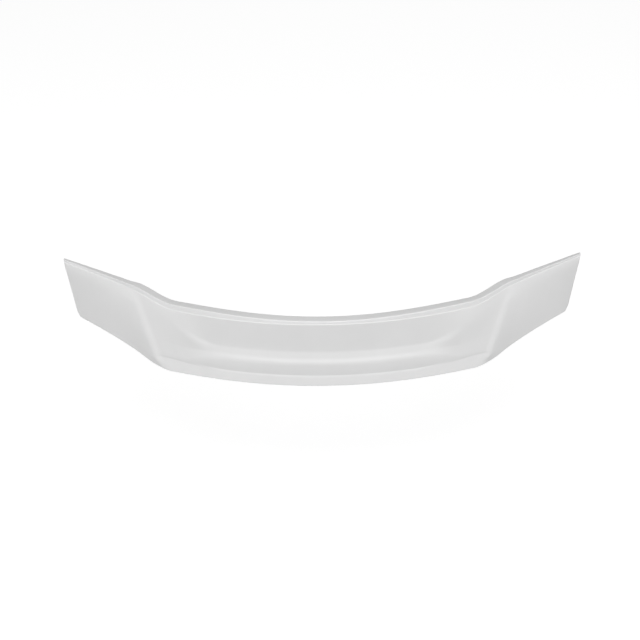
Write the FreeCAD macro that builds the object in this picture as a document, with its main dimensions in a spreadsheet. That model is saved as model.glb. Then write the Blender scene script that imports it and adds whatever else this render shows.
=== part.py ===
"""Boot lid spoiler: one moulded shell, open underneath, bonded over the lid's rear edge.

Frame: +X to the car's right, +Y forward, +Z up. The origin lies on the centre plane at
the lid's rear edge, which the shell is bonded over.
The shell is lofted through sections. Each section lies in a plane along Y that is
upright at the centre and leans inward at its foot more and more towards the ridge.
"""
import FreeCAD, Part
import os

import Sketcher

Vector = FreeCAD.Vector

# Driving dimensions in millimetres and degrees, with what each one measures
SIZES = {
    "half_span": (552.5, "centre plane to the lip's tip"),
    "lip_height": (93.0, "lid edge up to the lip's lower edge, at the centre"),
    "lip_reach": (36.0, "lid edge forward to the lip's lower edge, at the centre"),
    "lip_radius": (940.0, "plan radius of the lip between its steps"),
    "lip_crown": (8.0, "fall of the lip from the centre to the tip, less the step's rise"),
    "nose_centre": (9.3, "size of the lip's nose at the centre"),
    "nose_ridge": (7.6, "size of the nose at the ridge"),
    "nose_tip": (4.1, "size of the nose at the tip"),
    "nose_swell": (2.4, "extra size of the nose on the way to the ridge"),
    "step_start": (297.0, "centre plane to where the lip leaves its arc"),
    "step_end": (402.0, "centre plane to where the lip meets the wing's straight line"),
    "step_rise": (15.0, "rise of the lip over its step"),
    "wing_forward": (107.3, "centre lip forward to the wing's lip at the ridge"),
    "wing_sweep": (31.0, "plan angle of the wing's lip"),
    "ridge_across": (400.0, "centre plane to the ridge, at the lip"),
    "ridge_lean": (24.6, "lean of the ridge"),
    "tip_lean": (11.5, "lean of the end wall"),
    "front_run": (76.0, "lip forward to the front edge, at the centre"),
    "front_drop": (62.0, "lip down to the front edge, at the centre"),
    "front_radius": (752.0, "plan radius of the front edge between the ridges"),
    "front_run_tip": (64.0, "lip forward to the front edge, at the tip"),
    "front_crown": (14.0, "fall of the front edge from the centre to the tip"),
    "rear_run": (56.0, "lip back to the flange's foot, at the centre"),
    "rear_drop": (121.5, "lip down to the flange's foot, at the centre"),
    "foot_radius": (1019.0, "plan radius of the flange's foot"),
    "foot_crown": (3.0, "fall of the foot from the centre to the ridge"),
    "tip_run": (46.5, "lip back to the end wall's foot, at the tip"),
    "tip_drop": (108.0, "centre lip down to the end wall's foot"),
    "wing_foot_bow": (6.0, "forward bow of the wing's foot"),
    "wing_foot_rise": (9.5, "upward bow of the wing's foot"),
    "wing_bow": (4.5, "outward bow of the wing's rear face"),
    "recess_depth": (6.5, "depth of the recess under the lip"),
    "recess_share": (0.459, "place of the recess's bottom in the fall of the rear face"),
    "facet_depth": (3.8, "depth of the shelf's inner end"),
    "facet_share": (0.574, "place of the shelf's inner end in the fall of the rear face"),
    "shelf_proud": (1.0, "how far the shelf's edge stands out"),
    "shelf_share": (0.628, "place of the shelf's edge in the fall of the rear face"),
    "crease_depth": (2.8, "depth of the crease above the flange"),
    "crease_share": (0.86, "place of the crease in the fall of the rear face"),
    "wall": (3.0, "wall of the moulding"),
    "lid_edge_run": (36.0, "lip back to the lid's edge, at the end wall"),
    "lid_edge_drop": (74.0, "lip down to the lid's edge, at the end wall"),
    "corner_across": (4.0, "width of the cut corner at the end wall's foot"),
    "corner_up": (12.0, "height of the cut corner at the end wall's foot"),
}

# Sections between the ridges, as shares of the way from the centre to the ridge.
# They stand closer where the lip steps forward.
CENTRE_SHARES = [0.0, 0.28, 0.5, 0.66, 0.735, 0.79, 0.85, 0.91, 0.965, 1.0]
# Sections of the wing, as shares of the way from the ridge to the end wall
WING_SHARES = [0.3, 0.6, 0.85]
# Shares of the way to the ridge between which each feature of the rear face fades out
RECESS_FADE = (0.58, 0.79)
SHELF_FADE = (0.45, 1.0)
CREASE_FADE = (0.85, 1.0)
# How far features move up or down towards the ridge, as shares of the fall, and where they do
RECESS_RISE = 0.3
RECESS_RISE_ENDS = (0.56, 0.8)
SHELF_FALL = 0.15
SHELF_FALL_ENDS = (0.52, 0.92)
CREASE_RISE = 0.03
# Share of the way to the ridge where the wing's bow begins
BOW_START = 0.86

# The nose's form, in sizes of the nose: forward and up from the lip's lower edge
NOSE_BROW = (0.52, 0.66)
NOSE_BROW_WING = (0.68, 0.86)
NOSE_BEAD = (2.95, 0.0)
# The upper face's hollow, as shares of the way from the front edge to the bead
HOLLOW_FORWARD = 0.6
HOLLOW_UP = 0.2
# Directions of the wall's thickness: rear face, upper face, foot and inside the nose
REAR_INWARD = (0.87, -0.5)
UPPER_INWARD = (-0.64, -0.77)
FOOT_INWARD = (1.15, 0.0)
APEX_INWARD = (1.5, -0.4)
# How far the corner cut reaches past the faces it joins, as a share of its length
CORNER_PAST = 0.5

# The section's outline, edge by edge: two points are a line, more are a spline's poles
OUTSIDE_BACK = [
    ["lip", "face", "recess", "facet", "shelf", "crease"],
    ["crease", "foot"],
    ["foot", "foot_in"],
]
INSIDE = [
    ["foot_in", "crease_in"],
    ["crease_in", "shelf_in", "facet_in", "recess_in", "face_in", "apex"],
    ["apex", "bead_in"],
    ["bead_in", "hollow_in", "front_in"],
]
LID_EDGE = [["foot_in", "lid_edge", "front_in"]]
OUTSIDE_FRONT = [
    ["front_in", "front"],
    ["front", "hollow", "bead"],
    ["bead", "brow"],
    ["brow", "lip"],
]
HOLLOW_SECTION = OUTSIDE_BACK + INSIDE + OUTSIDE_FRONT
FULL_SECTION = OUTSIDE_BACK + LID_EDGE + OUTSIDE_FRONT


def make_sheet(doc):
    """Puts the driving dimensions in a spreadsheet, one named cell each."""
    sheet = doc.addObject("Spreadsheet::Sheet", "Sizes")
    for row, (name, (value, meaning)) in enumerate(SIZES.items(), start=1):
        sheet.set(f"A{row}", name)
        sheet.set(f"B{row}", str(value))
        sheet.set(f"C{row}", meaning)
        sheet.setAlias(f"B{row}", name)
    doc.recompute()
    return sheet


def origin_plane(body, role):
    return next(plane for plane in body.Origin.OriginFeatures if plane.Role == role)


def cell(name):
    """Formula of a driving dimension."""
    return f"Sizes.{name}"


def ease(share):
    """Number that rises smoothly from 0 to 1 while share does."""
    held = min(1.0, max(0.0, share))
    return held * held * (3.0 - 2.0 * held)


def fade(share, ends):
    """Number that falls smoothly from 1 to 0 between two shares."""
    start, stop = ends
    return 1.0 - ease((share - start) / (stop - start))


def stepped(across):
    """Formula of how far the lip has stepped, from 0 on its arc to 1 on the wing."""
    step = f"{cell('step_end')} - {cell('step_start')}"
    share = f"min(1; max(0; ({across} - {cell('step_start')}) / ({step})))"
    return f"({share})^2 * (3 - 2 * {share})"


def crown(name, across):
    """Formula of a fall that grows with the square of the way to the tip."""
    return f"{cell(name)} * (({across}) / {cell('half_span')})^2"


def lip_line(across):
    """Formula of the lip's plan line: an arc, a smooth step and the wing's straight line."""
    arc = f"({across})^2 / (2 * {cell('lip_radius')})"
    wing = f"{cell('wing_forward')} + tan({cell('wing_sweep')}) * ({across} - {cell('ridge_across')})"
    return f"{arc} + ({wing} - {arc}) * {stepped(across)}"


def lip_height(across):
    """Formula of the lip's height over the centre: a crown, and a smooth rise over the step."""
    return f"{cell('step_rise')} * {stepped(across)} - {crown('lip_crown', across)}"


def skew(across):
    """Formula of how much longer the nose is along Y than square to the lip."""
    return between(1, f"1 / cos({cell('wing_sweep')})", stepped(across))


def foot_line(across, lean):
    """Formula of the foot's plan arc below a section of the middle part."""
    foot_across = f"({across} - {cell('rear_drop')} * tan({lean}))"
    return f"{foot_across}^2 / (2 * {cell('foot_radius')}) - {cell('rear_run')}"


def front_line(across):
    """Formula of the front edge's plan arc between the ridges."""
    return f"{cell('front_run')} + ({across})^2 / (2 * {cell('front_radius')})"


def between(start, stop, share):
    """Formula of a value part of the way from one formula's value to another's."""
    return f"({start}) + (({stop}) - ({start})) * ({share})"


class Section:
    """Places and points of one section, as formulas."""

    def __init__(self, across, lean, side):
        self.across = across
        self.lean = lean
        self.side = side
        self.points = {}

    def put(self, name, forward, up):
        self.points[name] = (forward, up)

    def upright(self, height):
        """Formula of a height measured along the leaning plane."""
        return f"({height}) / cos({self.lean})"

    def shift(self, name, base, direction, length, stretch="1"):
        """Point that lies off another one by a length in a direction, stretched forward."""
        forward, up = direction
        self.put(
            name,
            f".Constraints.{base}_along + {forward} * ({length}) * ({stretch}) * 1 mm",
            f".Constraints.{base}_up + {up} * ({length}) * 1 mm",
        )

    def mix(self, name, start, stop, along_share, up_share, extra="0"):
        """Point between two others, moved forward by an extra length."""
        mixed = [
            between(f".Constraints.{start}_{axis}", f".Constraints.{stop}_{axis}", share)
            for axis, share in (("along", along_share), ("up", up_share))
        ]
        self.put(name, f"{mixed[0]} + ({extra}) * 1 mm", mixed[1])


def add_form(section, nose, share):
    """Adds the points that every section has between its lip, foot and front edge."""
    risen = 1 - fade(share, RECESS_RISE_ENDS)
    sunk = 1 - fade(share, SHELF_FALL_ENDS)
    bow = ease((share - BOW_START) / (1 - BOW_START))
    places = {
        "recess": f"{cell('recess_share')} - {RECESS_RISE * risen:.4f}",
        "facet": cell("facet_share"),
        "shelf": f"{cell('shelf_share')} + {SHELF_FALL * sunk:.4f}",
        "crease": f"{cell('crease_share')} - {CREASE_RISE * share ** 4:.4f}",
    }
    depths = {
        "recess": f"{fade(share, RECESS_FADE):.4f} * {cell('recess_depth')}",
        "facet": f"{fade(share, SHELF_FADE):.4f} * {cell('facet_depth')}",
        "shelf": f"{-fade(share, SHELF_FADE):.4f} * {cell('shelf_proud')}",
        "crease": f"{fade(share, CREASE_FADE):.4f} * {cell('crease_depth')}",
    }
    for name, place in places.items():
        bulge = f"{4 * bow:.4f} * {cell('wing_bow')} * ({place}) * (1 - ({place}))"
        section.mix(name, "lip", "foot", place, place, f"{depths[name]} - {bulge}")
    section.mix("face", "lip", "recess", 0.5, 0.5)
    brow = [start + (stop - start) * share ** 2 for start, stop in zip(NOSE_BROW, NOSE_BROW_WING)]
    for name, direction in (("brow", brow), ("bead", NOSE_BEAD)):
        section.shift(name, "lip", direction, nose, skew(section.across))
    section.mix("hollow", "front", "bead", HOLLOW_FORWARD, HOLLOW_UP)
    wall = cell("wall")
    for name in ("face", *places):
        section.shift(f"{name}_in", name, REAR_INWARD, wall)
    for name in ("bead", "hollow", "front"):
        section.shift(f"{name}_in", name, UPPER_INWARD, wall)
    section.shift("foot_in", "foot", FOOT_INWARD, wall)
    section.shift("apex", "lip", APEX_INWARD, wall)


def centre_section(share, side):
    """Section of the middle part, between the ridges."""
    across = f"{cell('ridge_across')} * {share}"
    lean = f"{cell('ridge_lean')} * {share}"
    section = Section(across, lean, side)
    section.put("lip", lip_line(across), section.upright(lip_height(across)))
    foot_up = f"-{cell('rear_drop')} - {cell('foot_crown')} * {share ** 2:.4f}"
    section.put("foot", foot_line(across, lean), section.upright(foot_up))
    front_up = f"-{cell('front_drop')} - {crown('front_crown', across)}"
    section.put("front", front_line(across), section.upright(front_up))
    far = share ** 2
    swell = f"{cell('nose_swell')} * {4 * far * (1 - far):.4f}"
    nose = f"{between(cell('nose_centre'), cell('nose_ridge'), far)} + {swell}"
    add_form(section, nose, share)
    return section


def wing_section(share):
    """Section of the wing, outside the ridge. The share is a formula."""
    ridge = cell("ridge_across")
    tip = cell("half_span")
    across = between(ridge, tip, share)
    lean = between(cell("ridge_lean"), cell("tip_lean"), share)
    section = Section(across, lean, 1)
    section.put("lip", lip_line(across), section.upright(lip_height(across)))
    ridge_foot = foot_line(ridge, cell("ridge_lean"))
    tip_foot = f"{lip_line(tip)} - {cell('tip_run')}"
    arch = f"4 * ({share}) * (1 - ({share}))"
    foot_along = f"{between(ridge_foot, tip_foot, share)} + {cell('wing_foot_bow')} * {arch}"
    foot_drop = between(f"{cell('rear_drop')} + {cell('foot_crown')}", cell("tip_drop"), share)
    foot_up = f"{cell('wing_foot_rise')} * {arch} - ({foot_drop})"
    section.put("foot", foot_along, section.upright(foot_up))
    tip_front = f"{lip_line(tip)} + {cell('front_run_tip')}"
    front_up = f"-{cell('front_drop')} - {crown('front_crown', across)}"
    section.put("front", between(front_line(ridge), tip_front, share), section.upright(front_up))
    add_form(section, between(cell("nose_ridge"), cell("nose_tip"), share), 1.0)
    section.put(
        "lid_edge",
        f".Constraints.lip_along - {cell('lid_edge_run')} * 1 mm",
        f".Constraints.lip_up - {cell('lid_edge_drop')} * 1 mm",
    )
    return section


def start_value(sheet, formula, known):
    """Number that a formula gives now, from the points already known."""
    for name, value in known.items():
        formula = formula.replace(f".Constraints.{name} ", f"({value!r} mm) ")
        formula = formula.replace(f".Constraints.{name})", f"({value!r} mm))")
    result = sheet.evalExpression(formula)
    return float(getattr(result, "Value", result))


def start_points(sheet, points):
    """Where the points are to begin with, as vectors in the sketch's plane."""
    known = {}
    places = {}
    for name, (along, up) in points.items():
        places[name] = Vector(start_value(sheet, along, known), start_value(sheet, up, known), 0)
        known[f"{name}_along"] = places[name].x
        known[f"{name}_up"] = places[name].y
    return places


def add_edge(sketch, poles):
    """Adds a line or a quadratic spline. Gives its index and its points as (index, position)."""
    if len(poles) == 2:
        edge = sketch.addGeometry(Part.LineSegment(*poles))
        return edge, [(edge, 1), (edge, 2)]
    curve = Part.BSplineCurve()
    inner_knots = len(poles) - 3
    curve.buildFromPolesMultsKnots(poles, [3] + [1] * inner_knots + [3], range(inner_knots + 2), False, 2)
    edge = sketch.addGeometry(curve)
    spots = []
    for number, pole in enumerate(poles):
        mark = sketch.addGeometry(Part.Circle(pole, Vector(0, 0, 1), 1.0), True)
        kind = "InternalAlignment:Sketcher::BSplineControlPoint"
        sketch.addConstraint(Sketcher.Constraint(kind, mark, 3, edge, number))
        sketch.addConstraint(Sketcher.Constraint("Weight", mark, 1.0))
        spots.append((mark, 3))
    return edge, spots


def bind_point(sketch, name, spot, place, formulas):
    """Ties a point to its two formulas, as named constraints from the section's origin."""
    for kind, axis, value, formula in zip(
        ("DistanceX", "DistanceY"), ("along", "up"), (place.x, place.y), formulas
    ):
        index = sketch.addConstraint(Sketcher.Constraint(kind, -1, 1, *spot, value))
        sketch.renameConstraint(index, f"{name}_{axis}")
        sketch.setExpression(f"Constraints.{name}_{axis}", formula)


def draw_outline(sketch, sheet, points, path):
    """Draws a closed outline along the path, with every point tied to its formulas."""
    places = start_points(sheet, points)
    edges = []
    spots = {}
    for names in path:
        edge, edge_spots = add_edge(sketch, [places[name] for name in names])
        edges.append(edge)
        for name, spot in zip(names, edge_spots):
            spots.setdefault(name, spot)
    for edge, following in zip(edges, edges[1:] + edges[:1]):
        sketch.addConstraint(Sketcher.Constraint("Coincident", edge, 2, following, 1))
    for name, formulas in points.items():
        if name in spots:
            bind_point(sketch, name, spots[name], places[name], formulas)


def new_sketch(body, name, plane):
    sketch = body.newObject("Sketcher::SketchObject", name)
    sketch.AttachmentSupport = [(origin_plane(body, plane), "")]
    sketch.MapMode = "FlatFace"
    return sketch


def draw_section(body, sheet, name, section, path):
    """Draws a section in its leaning plane."""
    sketch = new_sketch(body, name, "YZ_Plane")
    sketch.AttachmentOffset = FreeCAD.Placement(Vector(), FreeCAD.Rotation(Vector(1, 0, 0), 1.0))
    sketch.setExpression("AttachmentOffset.Base.x", cell("lip_reach"))
    sketch.setExpression("AttachmentOffset.Base.y", cell("lip_height"))
    sketch.setExpression("AttachmentOffset.Base.z", f"{section.side} * ({section.across})")
    sketch.setExpression("AttachmentOffset.Rotation.Angle", f"{section.side} * ({section.lean})")
    draw_outline(sketch, sheet, section.points, path)
    return sketch


def add_loft(body, name, sketches, ruled=False):
    loft = body.newObject("PartDesign::AdditiveLoft", name)
    loft.Profile = sketches[0]
    loft.Sections = sketches[1:]
    loft.Ruled = ruled
    return loft


def cut_corner(body, sheet):
    """Cuts the sharp corner off the end wall's foot, right through along Y."""
    foot_across = f"({cell('half_span')} - {cell('tip_drop')} * tan({cell('tip_lean')}))"
    foot_up = f"({cell('lip_height')} - {cell('tip_drop')})"
    on_foot = (f"{foot_across} - {cell('corner_across')}", foot_up)
    on_wall = (
        f"{foot_across} + {cell('corner_up')} * tan({cell('tip_lean')})",
        f"{foot_up} + {cell('corner_up')}",
    )
    low = [between(*ends, -CORNER_PAST) for ends in zip(on_foot, on_wall)]
    high = [between(*ends, 1 + CORNER_PAST) for ends in zip(on_foot, on_wall)]
    sketch = new_sketch(body, "Corner", "XZ_Plane")
    points = {"low": low, "outer": (high[0], low[1]), "high": high}
    draw_outline(sketch, sheet, points, [["low", "outer"], ["outer", "high"], ["high", "low"]])
    cut = body.newObject("PartDesign::Pocket", "CornerCut")
    cut.Profile = sketch
    cut.Type = "ThroughAll"
    cut.Midplane = True
    return cut


def make_shell(doc, sheet):
    """The moulded shell: a middle part, two wings and their closed ends."""
    body = doc.addObject("PartDesign::Body", "Spoiler")
    body.Label = "spoiler"
    shares = [-share for share in reversed(CENTRE_SHARES[1:])] + CENTRE_SHARES
    middle = []
    for number, share in enumerate(shares):
        section = centre_section(abs(share), -1 if share < 0 else 1)
        middle.append(draw_section(body, sheet, f"Middle{number}", section, HOLLOW_SECTION))
    add_loft(body, "MiddlePart", middle)
    end_share = f"1 - {cell('wall')} / ({cell('half_span')} - {cell('ridge_across')})"
    outer = [
        draw_section(body, sheet, f"Wing{number}", wing_section(share), HOLLOW_SECTION)
        for number, share in enumerate(WING_SHARES + [end_share])
    ]
    wing = add_loft(body, "Wing", middle[-1:] + outer)
    ends = [
        draw_section(body, sheet, f"End{number}", wing_section(share), FULL_SECTION)
        for number, share in enumerate((end_share, 1.0))
    ]
    end_wall = add_loft(body, "EndWall", ends, ruled=True)
    corner = cut_corner(body, sheet)
    doc.recompute()
    mirror = body.newObject("PartDesign::Mirrored", "OtherWing")
    mirror.Originals = [wing, end_wall, corner]
    mirror.MirrorPlane = (origin_plane(body, "YZ_Plane"), [""])
    body.Tip = mirror
    return body


def check(doc, bodies):
    """Stops if any object failed or any piece is not a valid solid."""
    for item in doc.Objects:
        if {"Invalid", "Error"} & set(item.State):
            raise RuntimeError(f"{item.Label}: {item.State}")
    for body in bodies:
        if body.Shape.isNull() or not body.Shape.isValid():
            raise RuntimeError(f"{body.Label} has no valid shape")


def main():
    doc = FreeCAD.newDocument("BootLidSpoiler")
    sheet = make_sheet(doc)
    bodies = [make_shell(doc, sheet)]
    doc.recompute()
    check(doc, bodies)
    os.makedirs("parts", exist_ok=True)
    for body in bodies:
        body.Shape.exportStep(os.path.join("parts", f"{body.Label}.step"))


main()
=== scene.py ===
"""Dresses the boot lid spoiler: one white moulding with rounded edges, on a pale studio floor.

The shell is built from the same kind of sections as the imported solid, in metres and in the
same frame, with every edge rounded. +X is the car's right, +Y forward, +Z up.
"""
import math

import bpy
import numpy as np
from mathutils import Matrix, Vector


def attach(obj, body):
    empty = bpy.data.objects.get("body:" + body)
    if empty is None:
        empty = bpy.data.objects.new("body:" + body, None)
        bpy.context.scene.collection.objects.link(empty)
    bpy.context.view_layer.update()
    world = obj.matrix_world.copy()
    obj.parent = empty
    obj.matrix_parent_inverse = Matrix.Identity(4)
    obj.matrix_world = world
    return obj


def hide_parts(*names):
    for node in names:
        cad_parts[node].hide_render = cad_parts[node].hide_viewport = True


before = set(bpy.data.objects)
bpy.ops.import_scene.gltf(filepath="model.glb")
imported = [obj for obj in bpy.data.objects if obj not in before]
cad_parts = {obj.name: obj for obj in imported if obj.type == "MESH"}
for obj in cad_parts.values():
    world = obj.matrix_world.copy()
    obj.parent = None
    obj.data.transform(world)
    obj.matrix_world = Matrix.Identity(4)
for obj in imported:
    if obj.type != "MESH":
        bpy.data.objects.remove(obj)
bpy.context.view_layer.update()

# Sizes are in metres and degrees. A share runs from 0 to 1: along the span, from the middle
# to the ridge or from the ridge to the tip, and in a section, from the lip down to the foot.

# The lip: an arc in plan, a step forward and up, and the wing's straight line
HALF_SPAN = 0.5565
LIP_HEIGHT = 0.093
LIP_REACH = 0.036
LIP_RADIUS = 0.940
LIP_CROWN = 0.008
STEP_ENDS = (0.303, 0.398)
STEP_RISE = 0.015
WING_FORWARD = 0.1073
WING_SWEEP = 31.0
RIDGE_ACROSS = 0.400
RIDGE_LEAN = 24.6
TIP_LEAN = 11.5
# Distance either side of a point for measuring the lip's plan angle
PLAN_STEP = 0.001

# The nose: its size, and its form in sizes, forward and up from the lip's lower edge
NOSE_CENTRE = 0.0093
NOSE_RIDGE = 0.0076
NOSE_TIP = 0.0041
NOSE_SWELL = 0.0024
NOSE_SILL = np.array((0.12, 0.08))
NOSE_SILL_WING = np.array((0.32, 0.20))
NOSE_BROW = np.array((0.47, 0.69))
NOSE_BROW_WING = np.array((0.72, 1.22))
NOSE_BEAD = np.array((2.95, 0.0))
SILL_ENDS = (0.0, 0.15)
BROW_ENDS = (0.0, 1.0)

# The front edge, and the upper face's hollow as shares of the way from that edge to the bead
FRONT_RUN = 0.076
FRONT_DROP = 0.062
FRONT_RADIUS = 0.752
FRONT_RUN_TIP = 0.064
FRONT_CROWN = 0.014
HOLLOW_SHARES = np.array((0.6, 0.2))

# The foot: an arc in plan below the middle part, and an arched line below the wing
REAR_RUN = 0.056
REAR_DROP = 0.1222
FOOT_RADIUS = 1.019
FOOT_CROWN = 0.003
FOOT_CROWN_POWER = 6
TIP_RUN = 0.0465
TIP_DROP = 0.108
WING_FOOT_BOW = 0.006
WING_FOOT_RISE = 0.0095
ARCH_SCALE = 3.3
ARCH_POWERS = (0.8, 1.25)
CORNER_UP = 0.012
CORNER_ACROSS = 0.004

# Swells of the rear face, where along the span they come in, and the ridge's two slopes
WING_BOW = 0.0045
BOW_ENDS = (0.86, 1.0)
WING_TURN_ENDS = (0.1, 0.6)
SHOULDER_BOW = 0.0020
SHOULDER_BOW_ENDS = (0.58, 0.76)
RIDGE_CREST = 0.0036
RIDGE_FLANK = 0.014
RIDGE_BACK = 0.035
CREST_RISE_SHARE = 0.15
# Forms of the swells down a section: a scale, and the power of their falling side
EVEN_LOBE = (4.0, 1)
TIP_LOBE = (6.0, 6)
SHOULDER_LOBE = (9.5, 3)

# Lines of the rear face, from the lip down: their depth and their place in the fall
RECESS_DEPTH = 0.0065
RECESS_SHARE = 0.470
RECESS_RISE_SHARE = 0.44
RECESS_RISE_ENDS = (0.57, 0.826)
RECESS_FADE = (0.64, 0.80)
SWOOSH_DEPTH = 0.0052
SWOOSH_DEPTH_RIDGE = 0.0024
SWOOSH_FALL = 0.05
SWOOSH_FALL_RIDGE = 0.13
SWOOSH_ENDS = (0.62, 0.77)
FACET_DEPTH = 0.0040
FACET_SHARE = 0.574
FACET_FADE = (0.55, 1.1)
SHELF_DEPTH = 0.0004
SHELF_DEPTH_RIDGE = 0.0012
SHELF_SHARE = 0.640
SHELF_FALL_SHARE = 0.19
SHELF_FALL_ENDS = (0.5, 0.88)
RISER_BOW = 0.0008
RISER_BOW_START = 0.5
RISER_LEAST_SHARE = 0.05
CREASE_DEPTH = 0.0033
CREASE_DEPTH_RIDGE = 0.0016
CREASE_SHARE = 0.843
CREASE_RISE_SHARE = 0.05
CREASE_RISE_ENDS = (0.55, 0.9)
CREASE_FADE = (0.9, 1.2)
LEDGE_DEPTH = 0.0023
LEDGE_DEPTH_RIDGE = 0.0025
LEDGE_SHARE = 0.870
# Where along the span the depths pass to their values at the ridge
FLATTEN_ENDS = (0.58, 0.84)

# The wall's thickness, its directions in a section, and the lid's edge behind and below the lip
WALL = 0.003
REAR_INWARD = np.array((0.87, -0.5))
UPPER_INWARD = np.array((-0.64, -0.77))
FOOT_INWARD = np.array((1.15, 0.0))
APEX_INWARD = np.array((1.5, -0.4))
LID_EDGE = np.array((0.036, 0.074))

# Outside of the rear face, from the bead down: each point with its rounding, which is the
# length taken off each side of the corner
BEAD_ROUND = 0.006
EDGE_ROUND = 0.0009
REAR_ROUNDS = {
    "bead": BEAD_ROUND,
    "brow": 0.003,
    "sill": 0.001,
    "lip": 0.001,
    "recess": 0.006,
    "swoosh": 0.008,
    "facet": 0.003,
    "shelf": 0.006,
    "riser": 0.006,
    "crease": 0.0007,
    "ledge": 0.0009,
    "foot": EDGE_ROUND,
    "foot_in": EDGE_ROUND,
}
# Inside of the rear face, from the foot up
INNER_NAMES = (
    "ledge_in", "crease_in", "shelf_in", "facet_in", "swoosh_in", "recess_in", "apex", "bead_in",
)
INNER_ROUND = 0.003
# Longest rounding, as a share of the shorter side of its corner
ROOM_SHARE = 0.45
# The ridge's rounding at the lip and at the foot, and the fall from which it widens
RIDGE_ROUND = 0.003
RIDGE_FOOT_ROUND = 0.028
RIDGE_WIDEN = 0.88
TIP_ROUND = 0.0008
# Longest rounding of a tip, as a share of the distance to the end wall's lower edge
TIP_ROUND_SHARE = 0.25

# Fineness of the mesh: spacing of the sections, and points in bends, runs and curves
STATION_STEP = 0.004
BEND_POINTS = 6
EDGE_POINTS = 4
RUN_POINTS = 4
INNER_RUN_POINTS = 2
UPPER_POINTS = 22
INNER_UPPER_POINTS = 14
TIP_ROUND_STEPS = 5
RIDGE_SAMPLES = 9
SHARP_ANGLE = 40.0
LEAST_NEAR = 1e-6

# The plastic: colours, the scale and detail of each noise, and strength and height of the relief
PLASTIC_CLEAN = (0.80, 0.80, 0.80)
PLASTIC_DULL = (0.78, 0.78, 0.78)
PLASTIC_IOR = 1.5
PLASTIC_ROUGHNESS = (0.36, 0.46)
NOISE_MIDDLE = (0.3, 0.7)
CLOUD_NOISE = (14.0, 4.0)
GLOSS_NOISE = (55.0, 5.0)
PEEL_NOISE = (900.0, 2.0)
PEEL_RELIEF = (0.12, 0.0003)
WAVE_NOISE = (45.0, 1.0)
WAVE_RELIEF = (0.06, 0.002)

# The floor
FLOOR_GREY = (0.36, 0.36, 0.36)
FLOOR_LIFT = 0.80
FLOOR_LEVEL = -0.50
FLOOR_SIDE = 30.0

# Light: a soft surround, a large soft box above the camera and a weaker one at each side
WHITE = (1.0, 1.0, 1.0, 1.0)
WORLD_BEHIND = 0.42
WORLD_AHEAD = 0.115
KEY_PLACE = (0.0, -1.7, 3.12)
KEY_SIZE = 2.2
KEY_POWER = 89.0
SIDE_PLACE = (2.5, 0.1, 0.35)
SIDE_SIZE = 1.5
SIDE_POWER = 10.5
LAMP_AIM = (0.0, 0.1, 0.0)

# The photograph's camera: metres, degrees and millimetres
CAMERA_ELEVATION = 43.0
CAMERA_AZIMUTH = 0.259
CAMERA_DISTANCE = 3.2
CAMERA_PITCH = 42.808
CAMERA_TURN = 0.380
CAMERA_ROLL = -0.919
CAMERA_SENSOR = 36.0
CAMERA_LENS = 87.07


def ramp(value, ends):
    """Rises evenly from 0 to 1 between two values, and is held there."""
    start, stop = ends
    return min(1.0, max(0.0, (value - start) / (stop - start)))


def grow(value, ends):
    """Rises smoothly from 0 to 1 between two values."""
    share = ramp(value, ends)
    return share * share * (3.0 - 2.0 * share)


def fade(value, ends):
    """Falls smoothly from 1 to 0 between two values."""
    return 1.0 - grow(value, ends)


def mix(start, stop, share):
    return start + (stop - start) * share


def lobe(share, form):
    """A hump that is 0 at both ends of a share."""
    scale, power = form
    return scale * share * (1 - share) ** power


def lip_line(across):
    """Plan line of the lip: an arc, a smooth step and the wing's straight line."""
    middle = across ** 2 / (2 * LIP_RADIUS)
    wing = WING_FORWARD + math.tan(math.radians(WING_SWEEP)) * (across - RIDGE_ACROSS)
    return mix(middle, wing, grow(across, STEP_ENDS))


def lip_angle(across):
    """Plan angle of the lip, from two points a little either side."""
    rise = lip_line(across + PLAN_STEP) - lip_line(across - PLAN_STEP)
    return math.atan(rise / (2 * PLAN_STEP))


def offset_line(across, ahead):
    """Plan line that runs ahead of the lip, square to it."""
    beside = across + ahead * math.sin(lip_angle(across))
    return lip_line(beside) + ahead * math.cos(lip_angle(beside))


def foot_line(across, lean):
    """Plan arc of the foot below a section of the middle part."""
    foot_across = across - REAR_DROP * math.tan(lean)
    return foot_across ** 2 / (2 * FOOT_RADIUS) - REAR_RUN


def front_line(across):
    """Plan arc of the front edge between the ridges."""
    return FRONT_RUN + across ** 2 / (2 * FRONT_RADIUS)


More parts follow.
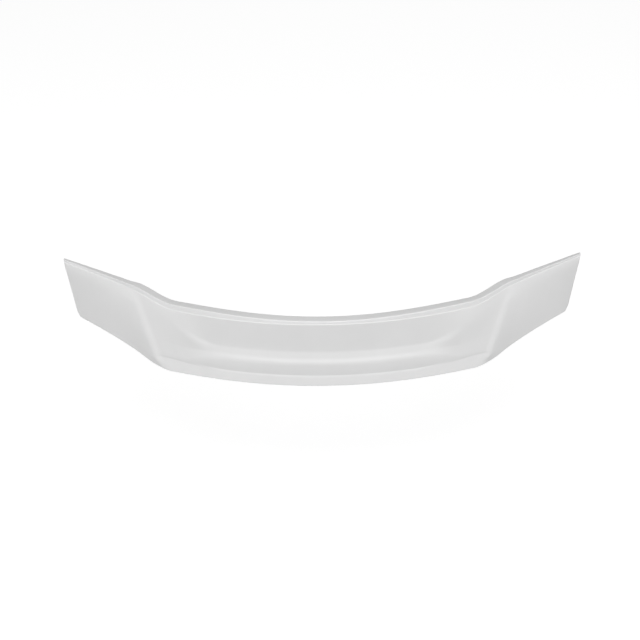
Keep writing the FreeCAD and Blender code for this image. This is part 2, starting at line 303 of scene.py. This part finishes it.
def section_edges(across, share, wing):
    """A section's lean, its lip, foot and front edge in its plane, and the size of its nose."""
    ridge_lean = math.radians(RIDGE_LEAN)
    lean = mix(ridge_lean * share, math.radians(TIP_LEAN), wing)
    if wing > 0.0:
        rise_power, fall_power = ARCH_POWERS
        arch = ARCH_SCALE * wing ** rise_power * (1 - wing) ** fall_power
        tip_along = lip_line(HALF_SPAN)
        foot_along = mix(foot_line(RIDGE_ACROSS, ridge_lean), tip_along - TIP_RUN, wing)
        foot_along += WING_FOOT_BOW * arch
        foot_drop = mix(REAR_DROP + FOOT_CROWN, TIP_DROP, wing) - WING_FOOT_RISE * arch
        front_along = mix(front_line(RIDGE_ACROSS), tip_along + FRONT_RUN_TIP, wing)
        nose = mix(NOSE_RIDGE, NOSE_TIP, wing)
    else:
        foot_along = foot_line(across, lean)
        foot_drop = REAR_DROP + FOOT_CROWN * share ** FOOT_CROWN_POWER
        front_along = front_line(across)
        nose = mix(NOSE_CENTRE, NOSE_RIDGE, share ** 2) + NOSE_SWELL * lobe(share ** 2, EVEN_LOBE)
    crown = (across / HALF_SPAN) ** 2
    upright = 1.0 / math.cos(lean)
    lip_up = STEP_RISE * grow(across, STEP_ENDS) - LIP_CROWN * crown
    front_drop = FRONT_DROP + FRONT_CROWN * crown
    lip = np.array((lip_line(across), lip_up * upright))
    foot = np.array((foot_along, -foot_drop * upright))
    front = np.array((front_along, -front_drop * upright))
    return lean, lip, foot, front, nose


def rear_lines(share, wing):
    """Each line of the rear face: its share of the fall from lip to foot, and its depth."""
    recess_share = RECESS_SHARE - RECESS_RISE_SHARE * ramp(share, RECESS_RISE_ENDS) ** 2
    deep = recess_share / RECESS_SHARE * fade(share, RECESS_FADE)
    swoosh = grow(share, SWOOSH_ENDS)
    swoosh_fall = mix(SWOOSH_FALL, SWOOSH_FALL_RIDGE, swoosh)
    swoosh_depth = mix(SWOOSH_DEPTH, SWOOSH_DEPTH_RIDGE, swoosh)
    facet = fade(share, FACET_FADE) if wing == 0.0 else 0.0
    crease = fade(share, CREASE_FADE) if wing == 0.0 else 0.0
    crease_rise = CREASE_RISE_SHARE * grow(share, CREASE_RISE_ENDS)
    crease_share = CREASE_SHARE - crease_rise
    shelf_share = SHELF_SHARE + SHELF_FALL_SHARE * ramp(share, SHELF_FALL_ENDS) ** 2
    shelf_share = min(shelf_share, crease_share - RISER_LEAST_SHARE)
    flat = grow(share, FLATTEN_ENDS)
    shelf_depth = mix(SHELF_DEPTH, SHELF_DEPTH_RIDGE, flat) * crease
    crease_depth = mix(CREASE_DEPTH, CREASE_DEPTH_RIDGE, flat) * crease
    ledge_depth = mix(LEDGE_DEPTH, LEDGE_DEPTH_RIDGE, flat) * crease
    riser_bow = RISER_BOW * (RISER_BOW_START + share) * (1.0 - flat)
    return {
        "recess": (recess_share, RECESS_DEPTH * deep),
        "swoosh": (recess_share + swoosh_fall, swoosh_depth * deep),
        "facet": (FACET_SHARE, FACET_DEPTH * facet),
        "shelf": (shelf_share, shelf_depth),
        "riser": ((shelf_share + crease_share) / 2, (shelf_depth + crease_depth) / 2 - riser_bow),
        "crease": (crease_share, crease_depth),
        "ledge": (LEDGE_SHARE - crease_rise, ledge_depth),
    }


def rear_swells(across, share, wing):
    """How far the rear face swells over the wing, at the shoulder and on the ridge."""
    on_wing = grow(share, BOW_ENDS)
    slope = RIDGE_BACK if wing > 0.0 else RIDGE_FLANK
    return {
        "wing": WING_BOW * on_wing,
        "turn": grow(wing, WING_TURN_ENDS),
        "shoulder": SHOULDER_BOW * grow(share, SHOULDER_BOW_ENDS) * (1.0 - on_wing),
        "crest": RIDGE_CREST * max(0.0, 1.0 - abs(across - RIDGE_ACROSS) / slope),
    }


def section(across):
    """A section's lean, its points as forward and up in its plane, and its swells."""
    share = min(1.0, across / RIDGE_ACROSS)
    wing = max(0.0, (across - RIDGE_ACROSS) / (HALF_SPAN - RIDGE_ACROSS))
    lean, lip, foot, front, nose = section_edges(across, share, wing)
    points = {"lip": lip, "foot": foot, "front": front}
    for name, (fall, depth) in rear_lines(share, wing).items():
        points[name] = mix(lip, foot, fall) + np.array((depth, 0.0))
    nose_form = {
        "sill": mix(NOSE_SILL, NOSE_SILL_WING, grow(wing, SILL_ENDS)),
        "brow": mix(NOSE_BROW, NOSE_BROW_WING, grow(share, BROW_ENDS)),
        "bead": NOSE_BEAD,
    }
    for name, form in nose_form.items():
        ahead, up = form * nose
        points[name] = np.array((offset_line(across, ahead), lip[1] + up))
    points["hollow"] = mix(front, points["bead"], HOLLOW_SHARES)
    for name in ("recess", "swoosh", "facet", "shelf", "crease", "ledge"):
        points[name + "_in"] = points[name] + REAR_INWARD * WALL
    for name in ("bead", "hollow", "front"):
        points[name + "_in"] = points[name] + UPPER_INWARD * WALL
    points["foot_in"] = foot + FOOT_INWARD * WALL
    points["apex"] = lip + APEX_INWARD * WALL
    points["lid_edge"] = lip - LID_EDGE
    return lean, points, rear_swells(across, share, wing)


def toward(start, stop, length):
    """Point at a length from start towards stop."""
    step = stop - start
    return start + step * (length / np.linalg.norm(step))


def parabola(start, peak, stop, count):
    """Points on the parabola that rounds a corner, both ends included."""
    shares = np.linspace(0.0, 1.0, count)[:, None]
    return (1 - shares) ** 2 * start + 2 * shares * (1 - shares) * peak + shares ** 2 * stop


def corner(before, point, after, length, count):
    """Points that round a corner, with a length taken off each side."""
    return parabola(toward(point, before, length), point, toward(point, after, length), count)


def rounded(vertices, cuts, run_points):
    """A polyline with its inner corners rounded and points spread along its straight runs."""
    pieces = [vertices[0][None, :]]
    for before, point, after, cut in zip(vertices, vertices[1:], vertices[2:], cuts):
        room = min(np.linalg.norm(point - before), np.linalg.norm(after - point))
        bend = corner(before, point, after, min(cut, ROOM_SHARE * room), BEND_POINTS)
        shares = np.linspace(0.0, 1.0, run_points + 2)[1:-1, None]
        pieces += [mix(pieces[-1][-1], bend[0], shares), bend]
    shares = np.linspace(0.0, 1.0, run_points + 2)[1:, None]
    pieces.append(mix(pieces[-1][-1], vertices[-1], shares))
    return np.concatenate(pieces)


def swelled(path, points, swells):
    """Moves the rear face of a section outwards by its swells."""
    lip_up, foot_up = points["lip"][1], points["foot"][1]
    fall = np.clip((lip_up - path[:, 1]) / (lip_up - foot_up), 0.0, 1.0)
    out = swells["wing"] * mix(lobe(fall, EVEN_LOBE), lobe(fall, TIP_LOBE), swells["turn"])
    out += swells["shoulder"] * lobe(fall, SHOULDER_LOBE)
    out += swells["crest"] * np.clip(fall / CREST_RISE_SHARE, 0.0, 1.0)
    return path - np.stack([out, np.zeros(len(path))], axis=1)


def path_ends(points):
    """Where the outside meets the inside: at the foot and at the front edge."""
    at_foot = toward(points["foot_in"], points["crease_in"], EDGE_ROUND)
    at_front = toward(points["front_in"], points["hollow_in"], EDGE_ROUND)
    return at_foot, at_front


def outer_path(points, swells):
    """Outside of a section, from the front edge's underside over the lip to the foot's inside."""
    at_foot, _ = path_ends(points)
    inside, edge, hollow = points["front_in"], points["front"], points["hollow"]
    under = corner(points["hollow_in"], inside, edge, EDGE_ROUND, EDGE_POINTS)
    front = corner(inside, edge, hollow, EDGE_ROUND, EDGE_POINTS)
    bead = toward(points["bead"], hollow, BEAD_ROUND)
    upper = parabola(front[-1], hollow, bead, UPPER_POINTS)[1:-1]
    vertices = [bead, *(points[name] for name in REAR_ROUNDS), at_foot]
    rear = swelled(rounded(vertices, REAR_ROUNDS.values(), RUN_POINTS), points, swells)
    return np.concatenate([under, front, upper, rear])


def inner_path(points, swells):
    """Inside of a section, between the ends of the outer path, from the foot to the front edge."""
    at_foot, at_front = path_ends(points)
    vertices = [at_foot, *(points[name] for name in INNER_NAMES)]
    rounds = [INNER_ROUND] * (len(vertices) - 2)
    rear = swelled(rounded(vertices, rounds, INNER_RUN_POINTS)[1:], points, swells)
    hollow = points["hollow_in"]
    upper = parabola(points["bead_in"], hollow, at_front, INNER_UPPER_POINTS)[1:-1]
    return np.concatenate([rear, upper])


def lid_path(points, count):
    """Lower edge of the end wall, from the foot to the front edge, without its ends."""
    at_foot, at_front = path_ends(points)
    return parabola(at_foot, points["lid_edge"], at_front, count + 2)[1:-1]


def place(across, lean, path, side):
    """Points of a section's plane in the part's frame."""
    along, up = path[:, 0], path[:, 1]
    return np.stack(
        [
            side * (across + up * math.sin(lean)),
            LIP_REACH + along,
            LIP_HEIGHT + up * math.cos(lean),
        ],
        axis=1,
    )


def cut_corner(points, across):
    """Raises the foot near the tip, where the shell's lower corner is cut off."""
    past = max(0.0, across - (HALF_SPAN - CORNER_ACROSS)) / CORNER_ACROSS
    rise = toward(points["foot"], points["crease"], CORNER_UP * past) - points["foot"]
    points["foot"] = points["foot"] + rise
    points["foot_in"] = points["foot_in"] + rise


def ring(reach):
    """Outside, inside and lid line of the section at a signed distance from the middle."""
    across = abs(reach)
    side = math.copysign(1.0, reach)
    lean, points, swells = section(across)
    cut_corner(points, across)
    outside = place(across, lean, outer_path(points, swells), side)
    inside = place(across, lean, inner_path(points, swells), side)
    lid = place(across, lean, lid_path(points, len(inside)), side)
    return outside, inside, lid


def mean_ring(reach, window):
    """The mean of the sections within a distance of one place."""
    rings = [ring(reach + window * share) for share in np.linspace(-1.0, 1.0, RIDGE_SAMPLES)]
    return [sum(parts) / RIDGE_SAMPLES for parts in zip(*rings)]


def soft_ring(reach):
    """A section averaged with its neighbours near the ridge, which rounds it, most at the foot."""
    off_ridge = abs(abs(reach) - RIDGE_ACROSS)
    near = fade(off_ridge, (RIDGE_FOOT_ROUND, 2 * RIDGE_FOOT_ROUND))
    if near < LEAST_NEAR:
        return ring(reach)
    tight = mean_ring(reach, RIDGE_ROUND * near)
    loose = mean_ring(reach, RIDGE_FOOT_ROUND * near)
    soft = []
    for fine, wide in zip(tight, loose):
        fall = np.clip((LIP_HEIGHT - fine[:, 2:]) / REAR_DROP, 0.0, 1.0)
        share = np.clip((fall - RIDGE_WIDEN) / (1.0 - RIDGE_WIDEN), 0.0, 1.0)
        soft.append(mix(fine, wide, share))
    return tuple(soft)


def inset(loop, depths):
    """Moves each point of a flat loop inwards in its own plane."""
    ahead = np.roll(loop, -1, axis=0) - loop
    ahead /= np.linalg.norm(ahead, axis=1)[:, None]
    along = ahead + np.roll(ahead, 1, axis=0)
    along /= np.linalg.norm(along, axis=1)[:, None]
    spread = loop - loop.mean(axis=0)
    plane = np.linalg.svd(spread, full_matrices=False)[2][2]
    inward = np.cross(plane, along)
    area = np.cross(loop, np.roll(loop, -1, axis=0)).sum(axis=0)
    if np.dot(area, plane) < 0.0:
        inward = -inward
    return loop + inward * depths[:, None]


def strip(first, second, closed):
    """Faces between two rows of vertex numbers of the same length."""
    count = len(first)
    last = count if closed else count - 1
    steps = [(k, (k + 1) % count) for k in range(last)]
    return [(first[a], first[b], second[b], second[a]) for a, b in steps]


def zipped(first, second):
    """Triangles between two rows of vertex numbers that share their ends."""
    faces = []
    a, b = 0, 0
    a_last, b_last = len(first) - 1, len(second) - 1
    while a < a_last or b < b_last:
        if (a + 1) * b_last <= (b + 1) * a_last:
            face = (first[a], first[a + 1], second[b])
            a += 1
        else:
            face = (first[a], second[b + 1], second[b])
            b += 1
        if len(set(face)) == len(face):
            faces.append(face)
    return faces


def tip_faces(add, side, inner_end, outside, inside):
    """Faces of the wall that closes one tip, with its outer edge rounded."""
    lid = add(ring(side * inner_end)[2])
    wall_top = [outside[-1], *inside, outside[0]]
    wall_low = [outside[-1], *lid, outside[0]]
    faces = [(wall_top[0], wall_top[1], wall_low[1])]
    faces += strip(wall_top[1:-1], wall_low[1:-1], False)
    faces.append((wall_top[-2], wall_top[-1], wall_low[-2]))
    before = outside + lid
    for turn in np.linspace(0.0, math.pi / 2, TIP_ROUND_STEPS):
        reach = side * (HALF_SPAN - TIP_ROUND * (1.0 - math.sin(turn)))
        tip_outside, _, tip_lid = ring(reach)
        loop = np.concatenate([tip_outside, tip_lid])
        gaps = np.linalg.norm(loop[:, None] - tip_lid[None], axis=2).min(axis=1)
        depths = np.minimum(TIP_ROUND * (1.0 - math.cos(turn)), TIP_ROUND_SHARE * gaps)
        row = add(inset(loop, depths))
        faces += strip(before, row, True)
        before = row
    upper, lower = before[:len(outside)], before[len(outside):]
    faces += zipped(upper, [upper[0], *lower[::-1], upper[-1]])
    return [face if side > 0 else face[::-1] for face in faces]


def shell_mesh():
    """The whole moulding: a hollow shell, closed by a wall at each tip."""
    corners = []

    def add(points):
        start = len(corners)
        corners.extend(points.tolist())
        return list(range(start, len(corners)))

    inner_end = HALF_SPAN - WALL
    corner_start = HALF_SPAN - CORNER_ACROSS
    count = 2 * round(corner_start / STATION_STEP) + 1
    reaches = [-inner_end, *np.linspace(-corner_start, corner_start, count), inner_end]
    rows = []
    for reach in reaches:
        outside, inside, _ = soft_ring(reach)
        rows.append((add(outside), add(inside)))
    faces = []
    for (outside, inside), (next_outside, next_inside) in zip(rows, rows[1:]):
        faces += strip(outside + inside, next_outside + next_inside, True)
    for side, row in ((-1, rows[0]), (1, rows[-1])):
        faces += tip_faces(add, side, inner_end, *row)
    mesh = bpy.data.meshes.new("spoiler_shell")
    mesh.from_pydata(corners, [], faces)
    mesh.validate()
    mesh.update()
    return mesh


def link(thing):
    bpy.context.scene.collection.objects.link(thing)
    return thing


def node(tree, kind, **values):
    """Adds a shader node, and sets its inputs by name."""
    made = tree.nodes.new(kind)
    for name, value in values.items():
        made.inputs[name.replace("_", " ")].default_value = value
    return made


def noise(tree, spot, form):
    """A noise of a given scale and detail over the part."""
    scale, detail = form
    made = node(tree, "ShaderNodeTexNoise", Scale=scale, Detail=detail)
    tree.links.new(spot, made.inputs["Vector"])
    return made.outputs["Fac"]


def ranged(tree, socket, sources, targets):
    """Maps one range of a value to another."""
    made = node(
        tree,
        "ShaderNodeMapRange",
        From_Min=sources[0],
        From_Max=sources[1],
        To_Min=targets[0],
        To_Max=targets[1],
    )
    tree.links.new(socket, made.inputs["Value"])
    return made.outputs["Result"]


def relief(tree, spot, form, strength_and_height):
    """A bump from a noise of a given scale and detail."""
    strength, height = strength_and_height
    made = node(tree, "ShaderNodeBump", Strength=strength, Distance=height)
    tree.links.new(noise(tree, spot, form), made.inputs["Height"])
    return made


def white_plastic():
    """Satin white moulding: faint clouding, uneven gloss and the fine orange peel of its skin."""
    material = bpy.data.materials.new("white_plastic")
    material.use_nodes = True
    tree = material.node_tree
    tree.nodes.clear()
    output = tree.nodes.new("ShaderNodeOutputMaterial")
    skin = node(tree, "ShaderNodeBsdfPrincipled", IOR=PLASTIC_IOR, Metallic=0.0)
    tree.links.new(skin.outputs["BSDF"], output.inputs["Surface"])
    spot = tree.nodes.new("ShaderNodeTexCoord").outputs["Object"]
    clouding = tree.nodes.new("ShaderNodeMix")
    clouding.data_type = "RGBA"
    clouding.inputs["A"].default_value = (*PLASTIC_DULL, 1.0)
    clouding.inputs["B"].default_value = (*PLASTIC_CLEAN, 1.0)
    clouds = ranged(tree, noise(tree, spot, CLOUD_NOISE), NOISE_MIDDLE, (0.0, 1.0))
    tree.links.new(clouds, clouding.inputs["Factor"])
    tree.links.new(clouding.outputs["Result"], skin.inputs["Base Color"])
    gloss = ranged(tree, noise(tree, spot, GLOSS_NOISE), NOISE_MIDDLE, PLASTIC_ROUGHNESS)
    tree.links.new(gloss, skin.inputs["Roughness"])
    peel = relief(tree, spot, PEEL_NOISE, PEEL_RELIEF)
    waves = relief(tree, spot, WAVE_NOISE, WAVE_RELIEF)
    tree.links.new(waves.outputs["Normal"], peel.inputs["Normal"])
    tree.links.new(peel.outputs["Normal"], skin.inputs["Normal"])
    return material


def seen_directly(tree):
    """A socket that is 1 for what the camera, a reflection or a clear part shows."""
    path = tree.nodes.new("ShaderNodeLightPath")
    total = path.outputs["Is Camera Ray"]
    for name in ("Is Glossy Ray", "Is Transmission Ray"):
        most = tree.nodes.new("ShaderNodeMath")
        most.operation = "MAXIMUM"
        tree.links.new(total, most.inputs[0])
        tree.links.new(path.outputs[name], most.inputs[1])
        total = most.outputs[0]
    return total


def shown_or_lit(tree, lit, shown, output):
    """Gives one shader to what is seen directly, and the other to the light that falls elsewhere."""
    choice = tree.nodes.new("ShaderNodeMixShader")
    tree.links.new(seen_directly(tree), choice.inputs["Fac"])
    tree.links.new(lit.outputs[0], choice.inputs[1])
    tree.links.new(shown.outputs[0], choice.inputs[2])
    tree.links.new(choice.outputs[0], output.inputs["Surface"])


def floor_paint():
    """Pale floor that lifts to white where it is seen, and still darkens in the shadow."""
    material = bpy.data.materials.new("studio_floor")
    material.use_nodes = True
    tree = material.node_tree
    tree.nodes.clear()
    output = tree.nodes.new("ShaderNodeOutputMaterial")
    paint = node(tree, "ShaderNodeBsdfDiffuse", Color=(*FLOOR_GREY, 1.0))
    glow = node(tree, "ShaderNodeEmission", Strength=FLOOR_LIFT)
    both = tree.nodes.new("ShaderNodeAddShader")
    tree.links.new(paint.outputs[0], both.inputs[0])
    tree.links.new(glow.outputs[0], both.inputs[1])
    shown_or_lit(tree, paint, both, output)
    return material


def white_world():
    """Soft light from all round, more from behind the part, and white where it is seen."""
    world = bpy.data.worlds.new("studio")
    bpy.context.scene.world = world
    world.use_nodes = True
    tree = world.node_tree
    tree.nodes.clear()
    output = tree.nodes.new("ShaderNodeOutputWorld")
    light = node(tree, "ShaderNodeBackground", Color=WHITE)
    toward_sky = tree.nodes.new("ShaderNodeSeparateXYZ")
    sky_place = tree.nodes.new("ShaderNodeTexCoord").outputs["Generated"]
    tree.links.new(sky_place, toward_sky.inputs[0])
    level = ranged(tree, toward_sky.outputs["Y"], (-1.0, 1.0), (WORLD_BEHIND, WORLD_AHEAD))
    tree.links.new(level, light.inputs["Strength"])
    white = node(tree, "ShaderNodeBackground", Color=WHITE, Strength=1.0)
    shown_or_lit(tree, light, white, output)


def lamp(name, place_at, size, power):
    """A square soft box that faces the part."""
    data = bpy.data.lights.new(name, "AREA")
    data.shape = "SQUARE"
    data.size = size
    data.energy = power
    made = link(bpy.data.objects.new(name, data))
    made.location = place_at
    facing = Vector(LAMP_AIM) - Vector(place_at)
    made.rotation_euler = facing.to_track_quat("-Z", "Y").to_euler()


def photo_camera():
    """The photograph's view: from behind and above, aimed near the middle of the lip."""
    lip_middle = Vector((0.0, LIP_REACH, LIP_HEIGHT))
    height = math.radians(CAMERA_ELEVATION)
    side = math.radians(CAMERA_AZIMUTH)
    level = math.cos(height)
    away = Vector((math.sin(side) * level, -math.cos(side) * level, math.sin(height)))
    data = bpy.data.cameras.new("photo_camera")
    data.sensor_width = CAMERA_SENSOR
    data.lens = CAMERA_LENS
    made = link(bpy.data.objects.new("photo_camera", data))
    made.matrix_world = (
        Matrix.Translation(lip_middle + CAMERA_DISTANCE * away)
        @ Matrix.Rotation(math.radians(CAMERA_TURN), 4, "Z")
        @ Matrix.Rotation(math.radians(90.0 - CAMERA_PITCH), 4, "X")
        @ Matrix.Rotation(math.radians(CAMERA_ROLL), 4, "Z")
    )
    bpy.context.scene.camera = made


shell = link(bpy.data.objects.new("spoiler_shell", shell_mesh()))
shell.data.materials.append(white_plastic())
shell.data.shade_smooth()
shell.data.set_sharp_from_angle(angle=math.radians(SHARP_ANGLE))
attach(shell, "root")
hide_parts("spoiler")

floor_mesh = bpy.data.meshes.new("studio_floor")
floor_half = FLOOR_SIDE / 2
floor_corners = ((-1, -1), (1, -1), (1, 1), (-1, 1))
floor_mesh.from_pydata(
    [(x * floor_half, y * floor_half, FLOOR_LEVEL) for x, y in floor_corners],
    [],
    [(0, 1, 2, 3)],
)
floor = link(bpy.data.objects.new("studio_floor", floor_mesh))
floor.data.materials.append(floor_paint())

white_world()
lamp("key_lamp", KEY_PLACE, KEY_SIZE, KEY_POWER)
for side_name, side_sign in (("left_lamp", -1), ("right_lamp", 1)):
    side_at = (side_sign * SIDE_PLACE[0], *SIDE_PLACE[1:])
    lamp(side_name, side_at, SIDE_SIZE, SIDE_POWER)
photo_camera()
bpy.context.scene.view_settings.view_transform = "Standard"
